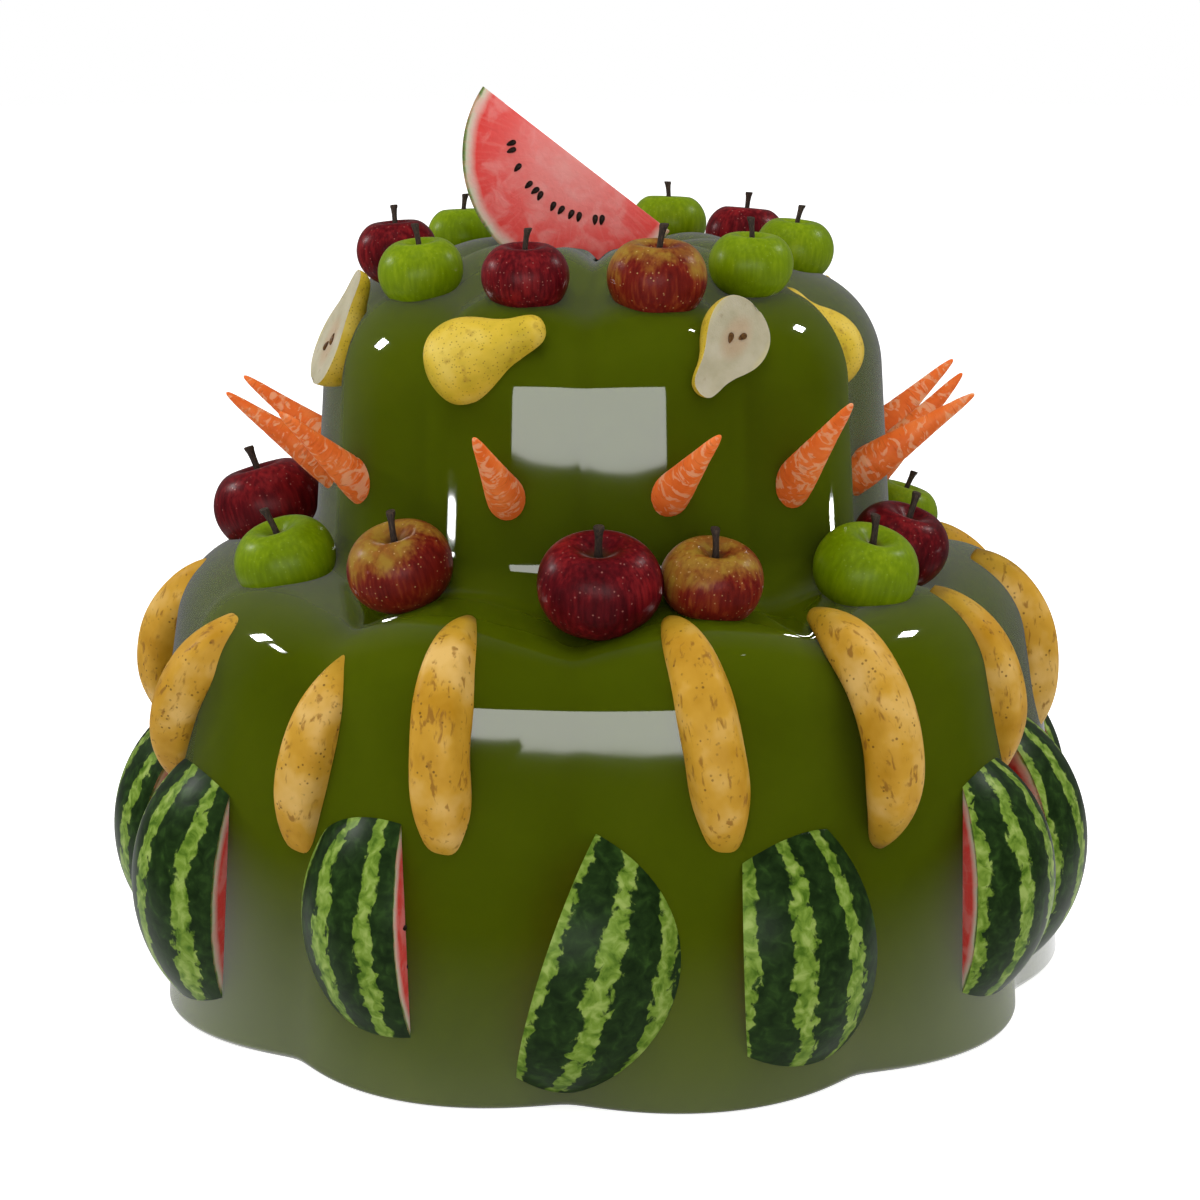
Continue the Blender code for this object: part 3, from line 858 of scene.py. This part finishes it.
def carrot_grid(phases):
    """radius = outline * (1 + creases), the creases being steep waves along the length."""
    outline = smooth_path(CARROT_KNOTS, CARROT_ROWS)
    outline[[0, -1], 0] = 0
    width, share = outline[:, :1], outline[:, 1:]
    angle = np.linspace(0, 2 * np.pi, CARROT_COLUMNS)
    waves = sum(
        np.sin(rate * share + phase + 0.8 * np.sin(angle + 2 * phase))
        for rate, phase in zip((55.0, 87.0, 131.0), phases)
    )
    creases = -0.018 * np.clip(waves - 1.0, 0, 2) + 0.012 * np.sin(3 * angle + phases[0])
    reach = CARROT_RADIUS * width * (1 + creases)
    drift = 0.0016 * np.sin(3.2 * share + phases[1]) * share
    height = share * CARROT_LENGTH - CARROT_BURIED + 0 * angle
    return np.stack([reach * np.sin(angle) + drift, -reach * np.cos(angle), height], axis=-1)


def carrot_skin():
    material, tree, shader = finish(
        "carrot", 0.42, Specular_IOR_Level=0.12, Subsurface_Weight=0.15, Subsurface_Scale=0.004,
        Subsurface_Radius=(1.0, 0.4, 0.1),
    )  # fmt: skip
    vary = note(tree, "vary")
    tone = noise(tree, vary, 60.0, 3.0)
    base = ramp(
        tree, tone, (0.3, paint(236, 106, 38)), (0.5, paint(246, 118, 48)), (0.7, paint(252, 134, 66))
    )
    flecks = between(tree, noise(tree, stretched(tree, vary, (0.8, 0.8, 1.4)), 95.0, 4.0, 1.4), 0.52, 0.60)
    base = mix(tree, sums(tree, "MULTIPLY", flecks, 0.6), base, paint(252, 190, 146))
    rings = noise(tree, stretched(tree, vary, (0.12, 0.12, 1.0)), 620.0, 3.0)
    creases = between(tree, rings, 0.60, 0.68)
    base = mix(tree, sums(tree, "MULTIPLY", creases, 0.4), base, paint(196, 82, 28))
    colour(tree, shader, base)
    bump(tree, shader, rings, 0.0008, 0.6)
    return material


# %% Place every carrot
# Angle, lean, roll, and offset upwards.
CARROTS = (
    (-140.0, 50.0, 0.0, 0.0),
    (-102.0, 56.0, 0.0, -0.005),
    (-84.0, 52.0, 0.0, -0.008),
    (-55.0, 50.0, 4.0, -0.004),
    (-18.2, 54.0, 3.0, 0.0),
    (12.7, 54.0, 11.0, 0.003),
    (40.5, 46.0, -9.0, 0.006),
    (71.5, 54.0, 3.0, 0.001),
    (89.0, 43.0, 0.0, -0.008),
    (102.0, 50.0, 0.0, 0.0),
    (146.0, 50.0, 0.0, 0.0),
    (184.0, 52.0, 0.0, 0.0),
)
carrot_finish = carrot_skin()
for order, (angle, lean, roll, lift) in enumerate(CARROTS, 1):
    name = f"carrot_{order}"
    grid = carrot_grid(random.uniform(0, 2 * np.pi, 3))
    place = seat((*CARROT_RING, lean), angle, roll, 25.0 * order, 0.0, lift)
    placed = placer(place, [grid], name)
    shift = random.uniform(-VARY, VARY, 3)
    piece = show(name + "_fruit", [(grid, 0)], [carrot_finish], placed, shift)
    stand_for(name)
print(len(CARROTS), "carrots")

# %% [markdown]
# ## Bananas
#
# A banana is a tube along an arc, five-sided with soft ridges, that tapers to a blossom tip at
# one end and a stalk at the other. The tube's rings stand square to the arc. Ripe skin is golden
# with brown freckles, and the freckles gather along the ridges as short dashes.

# %% Banana shape and finish
BANANA_LENGTH, BANANA_BEND, BANANA_RADIUS, BANANA_END = 0.180, 0.088, 0.019, 0.006
BANANA_ROWS, BANANA_COLUMNS = 76, 41
BANANA_CAP = np.array(((0.004, 0.9), (0.009, 0.6), (0.012, 0.0)))


def banana_grid(phases):
    """Rings of radius end + (radius - end)(1 - |s|^3.2), with five ridges, along an arc."""
    share = np.linspace(-1, 1, BANANA_ROWS)
    taper = BANANA_END + (BANANA_RADIUS - BANANA_END) * (1 - np.abs(share) ** 3.2)
    beyond, width = BANANA_CAP.T
    share = np.r_[-1 - beyond[::-1], share, 1 + beyond][:, None]
    taper = np.r_[BANANA_END * width[::-1], taper, BANANA_END * width][:, None]
    angle = np.linspace(0, 2 * np.pi, BANANA_COLUMNS)
    ridges = 1 + 0.045 * np.cos(5 * angle + phases[0]) * (taper / BANANA_RADIUS)
    uneven = 1 + 0.015 * np.sin(6 * share + phases[1]) + 0.01 * np.sin(11 * share + phases[2])
    ring = taper * ridges * uneven
    swing = share * BANANA_LENGTH / 2 / BANANA_BEND
    outward = BANANA_BEND + ring * np.cos(angle)
    return np.stack(
        [ring * np.sin(angle), BANANA_BEND - outward * np.cos(swing), outward * np.sin(swing)],
        axis=-1,
    )


def banana_skin():
    material, tree, shader = finish("banana", 0.45, Specular_IOR_Level=0.12)
    vary, own = note(tree, "vary"), parts_of(tree, note(tree, "own"))
    tone = noise(tree, vary, 30.0, 3.0)
    base = ramp(
        tree, tone, (0.3, paint(186, 134, 22)), (0.5, paint(206, 156, 50)), (0.7, paint(226, 184, 104))
    )
    dashes = noise(tree, stretched(tree, vary, (1.0, 1.0, 0.38)), 210.0, 4.0, 0.4)
    base = mix(tree, sums(tree, "MULTIPLY", between(tree, dashes, 0.57, 0.70), 0.75), base, paint(142, 94, 30))
    freckles = between(tree, cells(tree, vary, 230.0), 0.26, 0.12)
    rare = between(tree, noise(tree, vary, 55.0, 2.0), 0.45, 0.62)
    base = mix(tree, sums(tree, "MULTIPLY", sums(tree, "MULTIPLY", freckles, rare), 0.8), base, paint(92, 58, 20))
    reach = sums(tree, "ADD", sums(tree, "ABSOLUTE", own["Z"]), sums(tree, "MULTIPLY", tone, 0.012))
    base = mix(tree, sums(tree, "MULTIPLY", between(tree, reach, 0.062, 0.082), 0.5), base, paint(158, 132, 30))
    base = mix(tree, sums(tree, "MULTIPLY", between(tree, reach, 0.0805, 0.086), 0.7), base, paint(116, 88, 32))
    colour(tree, shader, base)
    bump(tree, shader, dashes, 0.0006, 0.5)
    return material


# %% Place every banana
# Angle, lean, roll, and offset outwards and upwards.
BANANAS = (
    (-94.0, -24.1, 15.8, 0.010, -0.003),
    (-62.3, -16.6, 28.1, 0.007, -0.006),
    (-38.8, -1.1, 13.7, -0.004, -0.034),
    (-18.6, -16.0, -2.4, 0.006, 0.002),
    (12.5, -21.5, -7.5, 0.003, 0.009),
    (35.3, -23.1, -2.7, 0.004, 0.006),
    (61.2, -0.6, -13.9, -0.004, -0.013),
    (81.8, -1.5, -1.9, 0.000, -0.011),
    (107.9, -13.9, 3.0, -0.002, -0.005),
    (142.0, -14.0, -4.0, 0.003, 0.002),
    (174.0, -16.0, 5.0, 0.002, 0.002),
    (205.0, -14.0, -3.0, 0.003, 0.002),
    (234.0, -16.0, 4.0, 0.003, 0.002),
)
banana_finish = banana_skin()
for order, (angle, lean, roll, out, lift) in enumerate(BANANAS, 1):
    name = f"banana_{order}"
    grid = banana_grid(random.uniform(0, 2 * np.pi, 3))
    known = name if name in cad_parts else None
    placed = placer(seat((*BANANA_RING, lean), angle, roll, 0.0, out, lift), [grid], known)
    shift = random.uniform(-VARY, VARY, 3)
    piece = show(name + "_fruit", [(grid, 0)], [banana_finish], placed, shift)
    stand_for(name)
print(len(BANANAS), "bananas")

# %% [markdown]
# ## Melon wedges and the slice on the crown
#
# A wedge is a sector of an ellipsoid: a striped rind, and two flat cut faces that meet along the
# melon's axis. Each cut face is a grid of rays from the axis out to the rind, so its colour can
# follow the depth under the rind: a thin green skin, a white band, then flesh that deepens to
# red. Seeds lie in two arcs on each face, half sunk in it.

# %% The wedge's shape
MELON_RADIUS, MELON_LENGTH, WEDGE_ANGLE = 0.090, 0.202, 68.0
SLICE_RADIUS, SLICE_ANGLE = 0.081, 60.0
RIND_ROWS, RIND_COLUMNS, CUT_RAYS = 61, 29, 19


def wedge_grids(radius, length, angle):
    """Rind: (R sin t sin a, -R sin t cos a, L/2 cos t); cut faces: the same rows shrunk to Z."""
    way = np.linspace(0, np.pi, RIND_ROWS)
    reach = radius * np.sin(way)
    reach[[0, -1]] = 0
    outline = np.stack([reach, length / 2 * np.cos(way)], axis=1)
    half = math.radians(angle) / 2
    rind = revolved(outline, np.linspace(-half, half, RIND_COLUMNS))
    inwards = np.linspace(1, 0, CUT_RAYS)[:, None] * (1, 1, 0) + (0, 0, 1)
    left, right = (rind[:, side][:, None, :] * inwards for side in (0, -1))
    return rind, left, right


def arc_of_seeds(share, bow, ways):
    """(share of the radius, way round the face) of each seed: share + bow * (way / 60)^2."""
    ways = np.asarray(ways, float)
    return np.stack([share + bow * (ways / 60) ** 2, ways], axis=1)


def wedge_seeds(radius, length, angle, arcs, size, unrest, fan):
    """Seeds on both cut faces, pointing at the melon's middle, each moved a little by chance."""
    seed = seed_grid(0.0085 * size, 0.0044 * size, 0.0024 * size)
    half = angle / 2
    sheets = []
    for side in (-1, 1):
        direction = turn("Z", side * half) @ (0.0, -1.0, 0.0)
        for share, way in np.concatenate(arcs):
            share += random.uniform(-0.04, 0.04) * unrest
            way += random.uniform(-4, 4) * unrest
            along = share * math.sin(math.radians(way)) * length / 2
            where = direction * radius * share * math.cos(math.radians(way)) + (0, 0, along)
            lean = side * (90 - fan * way) + random.uniform(-14, 14)
            flat = seed @ turn("Y", lean).T @ turn("Z", side * (half - 90)).T
            sheets.append((flat + where, 0))
    return sheets


# %% [markdown]
# ## Rind and flesh
#
# The rind is dark green, with pale stripes from end to end whose edges are torn and whose middle
# is veined. The stripes are a cosine of the angle round the melon, pushed about by noise. The
# flesh reads its depth under the rind from its own coordinates.

# %% Melon materials
STRIPE_SPACING = math.radians(27.0)


def melon_rind():
    material, tree, shader = finish("melon_rind", 0.36, Specular_IOR_Level=0.12)
    vary, own = note(tree, "vary"), parts_of(tree, note(tree, "own"))
    angle = sums(tree, "ARCTAN2", own["X"], sums(tree, "MULTIPLY", own["Y"], -1.0))
    lazy = noise(tree, stretched(tree, vary, (1.0, 1.0, 0.7)), 26.0, 2.0)
    torn = noise(tree, stretched(tree, vary, (1.0, 1.0, 0.8)), 150.0, 5.0, 0.5)
    phase = sums(tree, "MULTIPLY", angle, 2 * math.pi / STRIPE_SPACING)
    phase = sums(tree, "ADD", phase, sums(tree, "MULTIPLY", lazy, 3.4))
    wave = sums(tree, "COSINE", phase)
    wave = sums(tree, "ADD", wave, sums(tree, "MULTIPLY", sums(tree, "SUBTRACT", torn, 0.5), 2.6))
    stripe = between(tree, wave, 0.30, 0.62)
    mottle = noise(tree, vary, 120.0, 5.0, 0.6)
    dark = ramp(tree, mottle, (0.35, paint(22, 42, 12)), (0.55, paint(33, 56, 19)), (0.75, paint(50, 80, 28)))
    light = ramp(tree, mottle, (0.32, paint(72, 106, 18)), (0.5, paint(118, 148, 50)), (0.7, paint(158, 180, 92)))
    colour(tree, shader, mix(tree, stripe, dark, light))
    bump(tree, shader, mottle, 0.0004, 0.4)
    return material


def melon_flesh(name, radius, length):
    """Colour by the depth under the rind: rind radius at this height less the own radius."""
    material, tree, shader = finish(
        name, 0.36, Specular_IOR_Level=0.15, Subsurface_Weight=0.3, Subsurface_Scale=0.006,
        Subsurface_Radius=(1.0, 0.35, 0.3),
    )  # fmt: skip
    own, vary = parts_of(tree, note(tree, "own")), note(tree, "vary")
    square = sums(tree, "ADD", sums(tree, "MULTIPLY", own["X"], own["X"]), sums(tree, "MULTIPLY", own["Y"], own["Y"]))
    high = sums(tree, "DIVIDE", own["Z"], length / 2 / radius)
    square = sums(tree, "ADD", square, sums(tree, "MULTIPLY", high, high))
    depth = sums(tree, "SUBTRACT", radius, sums(tree, "SQRT", square))
    uneven = noise(tree, vary, 60.0, 3.0)
    depth = sums(tree, "ADD", depth, sums(tree, "MULTIPLY", sums(tree, "SUBTRACT", uneven, 0.5), 0.004))
    share = sums(tree, "DIVIDE", depth, radius)
    base = ramp(
        tree,
        share,
        (0.0, paint(70, 104, 44)),
        (0.016, paint(126, 150, 82)),
        (0.03, paint(216, 218, 188)),
        (0.06, paint(234, 200, 186)),
        (0.12, paint(242, 72, 66)),
        (0.35, paint(248, 98, 93)),
        (0.62, paint(252, 138, 133)),
        (1.0, paint(250, 158, 152)),
    )
    way = sums(tree, "ARCTAN2", high, sums(tree, "ABSOLUTE", own["Y"]))
    rays = node(tree, "CombineXYZ", {"X": sums(tree, "MULTIPLY", way, 9.0), "Y": share})
    streaks = between(tree, noise(tree, rays, 2.6, 4.0, 0.4), 0.50, 0.72)
    base = mix(tree, sums(tree, "MULTIPLY", streaks, 0.22), base, paint(252, 158, 150))
    clouds = between(tree, noise(tree, vary, 60.0, 5.0, 0.7), 0.44, 0.66)
    base = mix(tree, sums(tree, "MULTIPLY", clouds, 0.40), base, paint(252, 176, 170))
    fibres = noise(tree, vary, 260.0, 4.0, 0.4)
    colour(tree, shader, base)
    bump(tree, shader, fibres, 0.0007, 0.5)
    return material


# %% Place every wedge
# Angle, roll, turn about the melon's own axis, size, and offset outwards and upwards.
WEDGES = (
    (-78.2, 11.8, -0.1, 0.98, 0.007, 0.009),
    (-59.3, 2.8, 7.2, 1.05, 0.006, -0.003),
    (-24.2, -3.5, -23.2, 0.95, 0.007, 0.009),
    (-4.0, 16.3, 23.4, 1.0, 0.001, -0.006),
    (21.2, -2.5, 8.6, 0.99, 0.003, -0.005),
    (53.3, 1.0, -3.6, 0.95, 0.016, 0.008),
    (72.0, -2.7, -0.5, 1.01, 0.005, 0.006),
    (98.0, 0.0, 0.0, 1.0, 0.0, 0.009),
    (130.0, 4.0, 6.0, 1.0, 0.0, 0.0),
    (160.0, -4.0, 0.0, 1.0, 0.0, 0.006),
    (190.0, 3.0, -5.0, 1.0, 0.0, 0.002),
    (219.0, -3.0, 0.0, 1.0, 0.0, 0.008),
    (249.0, 0.0, 4.0, 1.0, 0.0, 0.002),
)
rind_finish = melon_rind()
melon_seed_coat = seed_coat("melon_seed", paint(22, 12, 10), paint(60, 34, 24))
WEDGE_ARCS = (
    arc_of_seeds(0.56, 0.05, (-56, -38, -20, 0, 19, 37, 55)),
    arc_of_seeds(0.70, 0.02, (-46, -29, -10, 11, 28, 47)),
)
SLICE_ARCS = (arc_of_seeds(0.45, 0.11, (66, 60, 45, 25, 17, 9, -10, -19, -31, -38, -53, -60)),)


def trim_below(mesh, level):
    """Cuts off what lies below the level and closes the cut with one flat face of flesh."""
    shape = bmesh.new()
    shape.from_mesh(mesh)
    everything = [*shape.verts, *shape.edges, *shape.faces]
    cut = bmesh.ops.bisect_plane(
        shape, geom=everything, plane_co=(0, 0, level), plane_no=(0, 0, 1), clear_inner=True
    )
    rim = [element for element in cut["geom_cut"] if isinstance(element, bmesh.types.BMEdge)]
    bmesh.ops.contextual_create(shape, geom=rim, mat_nr=1)
    shape.to_mesh(mesh)
    shape.free()


def add_wedge(name, place, sizes, flesh, arcs, *seed_rule):
    rind, left, right = wedge_grids(*sizes)
    lowest = placer(place, [])(rind)[..., 2].min()
    trimmed = lowest < WEDGE_BASE - WEDGE_TRIM_LEAST
    placed = placer(place, [rind, left, right], None if trimmed else name)
    shift = random.uniform(-VARY, VARY, 3)
    sheets = [(rind, 0), (left, 1), (right, 1)]
    piece = show(name + "_fruit", sheets, [rind_finish, flesh], placed, shift)
    if trimmed:
        trim_below(piece.data, WEDGE_BASE)
    stand_for(name)
    seeds = wedge_seeds(*sizes, arcs, *seed_rule)
    show(name + "_seeds", seeds, [melon_seed_coat], placed, shift)


# A wedge's buried end is cut off level a little above the jelly's base.
WEDGE_BASE, WEDGE_TRIM_LEAST = 0.004, 0.002
wedge_flesh = melon_flesh("melon_flesh", MELON_RADIUS, MELON_LENGTH)
for order, (angle, roll, own_turn, size, out, lift) in enumerate(WEDGES, 1):
    place = seat(WEDGE_RING, angle, roll, own_turn, out, lift, size)
    sizes = (MELON_RADIUS, MELON_LENGTH, WEDGE_ANGLE)
    add_wedge(f"melon_wedge_{order}", place, sizes, wedge_flesh, WEDGE_ARCS, 0.85, 1.0, 1.0)
print(len(WEDGES), "melon wedges")

# %% The slice on the crown
SLICE_PLACE = (-0.018, -0.032, 0.570)
SLICE_ROLL, SLICE_FACING = -54.0, -14.0
slice_turn = turn("Z", SLICE_FACING) @ turn("Y", SLICE_ROLL) @ turn("Z", SLICE_ANGLE / 2 - 90 - SLICE_ANGLE)
slice_sizes = (SLICE_RADIUS, 2 * SLICE_RADIUS, SLICE_ANGLE)
slice_flesh = melon_flesh("slice_flesh", SLICE_RADIUS, 2 * SLICE_RADIUS)
slice_place = (slice_turn, np.array(SLICE_PLACE))
add_wedge("melon_slice", slice_place, slice_sizes, slice_flesh, SLICE_ARCS, 0.86, 0.2, 0.42)

# %% [markdown]
# ## Floor and light
#
# A plain pale table and a soft studio. The world is bright behind the sweet and darker behind
# the camera, as in a studio with one white wall, so the jelly's edges pick up a pale rim while
# its face stays deep green. A low soft box in front draws the two pale shapes on the tiers, a
# big one above gives the light its direction, and two small lamps give the wet points of light.

# %% Floor
FLOOR_RADIUS = 12.0


def sweep(tree, toward_back):
    """How bright the studio looks in a reflection: dark in front, and paler towards the back."""
    inputs = {"Value": toward_back, "From Min": 0.1, "From Max": 0.95, "To Min": 0.01, "To Max": 0.17}
    return node(tree, "MapRange", inputs)


def floor_finish():
    """White where the camera sees it; its reflection in the jelly fades out with distance."""
    material, tree, shader = finish("pale_floor", 0.9, Specular_IOR_Level=0.0)
    place = node(tree, "TexCoord", {}, "Object")
    path = node(tree, "LightPath", {}).node.outputs
    distance = node(tree, "VectorMath", {0: place}, "Value", operation="LENGTH")
    along = parts_of(tree, place)["Y"]
    near = between(tree, distance, 0.95, 0.36)
    beside = between(tree, along, -0.45, -0.05)
    near = sums(tree, "MULTIPLY", near, sums(tree, "ADD", 0.28, sums(tree, "MULTIPLY", beside, 0.6)))
    glow = sums(tree, "ADD", near, sweep(tree, sums(tree, "DIVIDE", along, distance)))
    tone = noise(tree, place, 3.0, 3.0)
    white = ramp(tree, tone, (0.3, paint(240, 240, 240)), (0.7, paint(250, 250, 249)))
    colour(tree, shader, mix(tree, path["Is Glossy Ray"], white, (0.0, 0.0, 0.0, 1.0)))
    shader.inputs["Emission Color"].default_value = (1.0, 1.0, 1.0, 1.0)
    glow = sums(tree, "MULTIPLY", path["Is Glossy Ray"], glow)
    bright = sums(tree, "MULTIPLY", path["Is Camera Ray"], 0.72)
    tree.links.new(sums(tree, "ADD", glow, bright), shader.inputs["Emission Strength"])
    return material


disc = revolved(np.array(((0.0, 0.0), (FLOOR_RADIUS, 0.0))), np.linspace(0, 2 * np.pi, 65))
floor_mesh = mesh_of("floor", [(disc, 0)], lambda points: points, np.zeros(3))
floor_mesh.materials.append(floor_finish())
floor = bpy.data.objects.new("floor", floor_mesh)
bpy.context.scene.collection.objects.link(floor)

# %% World
def make_world():
    """White for the camera, even for soft fill, and a bright-to-dark sweep for reflections."""
    world = bpy.data.worlds.new("studio")
    bpy.context.scene.world = world
    world.use_nodes = True
    tree = world.node_tree
    background = tree.nodes["Background"]
    direction = parts_of(tree, node(tree, "TexCoord", {}, "Generated"))
    path = node(tree, "LightPath", {}).node.outputs
    fill = node(tree, "Mix", {0: path["Is Glossy Ray"], 2: 0.72, 3: sweep(tree, direction["Y"])}, data_type="FLOAT")
    seen = node(tree, "Mix", {0: path["Is Camera Ray"], 2: fill, 3: 1.0}, data_type="FLOAT")
    tree.links.new(seen, background.inputs["Strength"])
    background.inputs["Color"].default_value = (1.0, 1.0, 1.0, 1.0)


make_world()

# %% Lights
def soft_box(name, place, aim, width, height, power):
    """A rectangle of light at place that faces aim."""
    data = bpy.data.lights.new(name, "AREA")
    data.shape = "RECTANGLE"
    data.size, data.size_y, data.energy = width, height, power
    lamp = bpy.data.objects.new(name, data)
    lamp.location = place
    lamp.rotation_euler = (Vector(aim) - Vector(place)).to_track_quat("-Z", "Y").to_euler()
    lamp.visible_camera = False
    bpy.context.scene.collection.objects.link(lamp)
    return lamp


MIDDLE = (0.0, 0.0, 0.28)
shine = soft_box("front_box", (-0.24, -2.5, 0.669), (-0.24, 0.0, 0.669), 2.6, 0.782, 25.0)
shine.visible_diffuse = False
above = soft_box("top_box", (-0.3, -0.7, 2.3), MIDDLE, 1.3, 1.3, 14.0)
above.visible_glossy = False
soft_box("left_lamp", (-1.70, 0.44, 1.16), MIDDLE, 0.14, 0.22, 7.0)
soft_box("right_lamp", (1.72, 0.53, 1.77), MIDDLE, 0.16, 0.18, 8.0)
# Aim, angle round the axis and rise of the way to the lamp, its width and height, its power and
# the opening of its beam.
SPOTS = (
    ("left_spot", (-0.113, -0.174, 0.350), -66.0, -5.0, 0.25, 0.045, 0.003, 6.0),
    ("right_spot", (0.167, -0.120, 0.345), 101.0, -7.0, 0.08, 0.050, 0.0008, 5.0),
    ("pear_spot", (0.068, -0.177, 0.460), 83.0, 64.0, 0.06, 0.060, 0.001, 8.0),
    ("streak_spot", (-0.210, -0.197, 0.268), -104.0, 30.0, 0.50, 0.070, 0.006, 7.0),
)
for name, aim, angle, rise, width, height, power, opening in SPOTS:
    way = turn("Z", angle) @ (0.0, -math.cos(math.radians(rise)), math.sin(math.radians(rise)))
    spot = soft_box(name, np.array(aim) + 1.6 * way, aim, width, height, power)
    spot.data.spread = math.radians(opening)
    spot.visible_diffuse = False
bpy.context.scene.view_settings.view_transform = "Standard"
